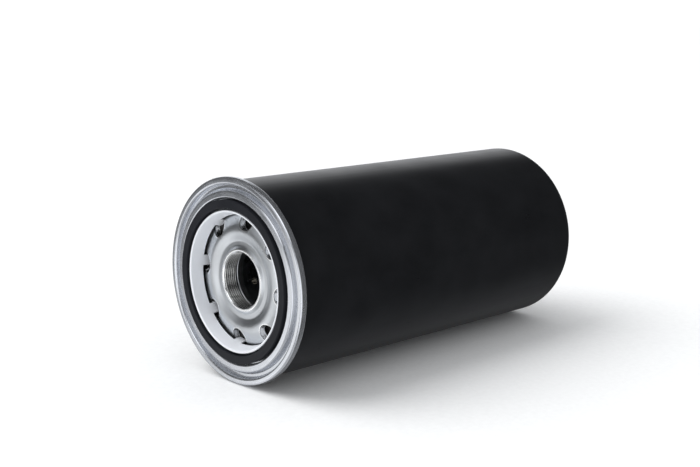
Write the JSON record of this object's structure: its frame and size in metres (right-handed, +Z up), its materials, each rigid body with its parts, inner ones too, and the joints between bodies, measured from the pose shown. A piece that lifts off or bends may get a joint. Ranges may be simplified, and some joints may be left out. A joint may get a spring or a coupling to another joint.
{
  "type": "spin-on oil filter",
  "caption": "Spin-on oil filter with a black can, rolled rim, square-cut gasket, threaded plate with inlet holes, and a pleated element with bypass and anti-drain valves.",
  "frame": {"origin": "on the filter's axis where the mounting thread's full wall begins, just inside the mouth", "axes": "+Y along the axis from the thread to the closed end, +Z up, +X to the right when facing the thread; the filter lies on its side"},
  "size_m": [0.136, 0.2782, 0.136],
  "materials": {
    "black_paint": "semi-gloss black enamel on deep-drawn steel",
    "zinc_plate": "bright zinc-plated sheet steel, drawn lines round the axis",
    "sealing_compound": "cured lining compound, dull",
    "plate_steel": "plated pressed steel, satin, burnished hole edges",
    "gasket_rubber": "black nitrile rubber, satin",
    "seal_rubber": "black nitrile rubber, satin",
    "silicone_flap": "dark elastomer, matt",
    "cap_steel": "tin-plated sheet steel, satin",
    "potting_adhesive": "cured amber adhesive, satin",
    "filter_paper": "resin-treated filter paper, matt, fine fibres",
    "clip_steel": "plated strip, satin",
    "roving_thread": "twisted strand, matt",
    "tube_steel": "perforated sheet steel, satin",
    "cage_steel": "plated pressed steel, satin",
    "spring_wire": "drawn spring wire, bright",
    "disc_steel": "plated steel, satin"
  },
  "bodies": {
    "filter": {"can_shell": "black_paint", "seaming_lid": "zinc_plate", "seam_compound": "sealing_compound", "thread_plate": "plate_steel", "outer_gasket": "gasket_rubber", "inner_seal": "seal_rubber", "top_end_cap": "cap_steel", "top_potting": "potting_adhesive", "pleated_media": "filter_paper", "media_seam_clip": "clip_steel", "media_roving": "roving_thread", "centre_tube": "tube_steel", "bottom_potting": "potting_adhesive", "bottom_end_cap": "cap_steel", "bypass_cage": "cage_steel", "bypass_spring": "spring_wire", "spring_seat": "cap_steel", "element_spring": "spring_wire"},
    "bypass_valve": {"bypass_disc": "disc_steel", "bypass_seal": "seal_rubber"},
    "drain_flap": {"anti_drain_valve": "silicone_flap"}
  },
  "joints": [
    {"name": "bypass_open", "type": "slide", "parent": "filter", "child": "bypass_valve", "axis": [0, -1, 0], "range_m": [0, 0.004], "stiffness_N_per_m": 2500, "deforming": ["bypass_spring"]},
    {"name": "drain_flap_lift", "type": "slide", "parent": "filter", "child": "drain_flap", "axis": [0, 1, 0], "range_m": [0, 0.0025], "stiffness_N_per_m": 200}
  ]
}
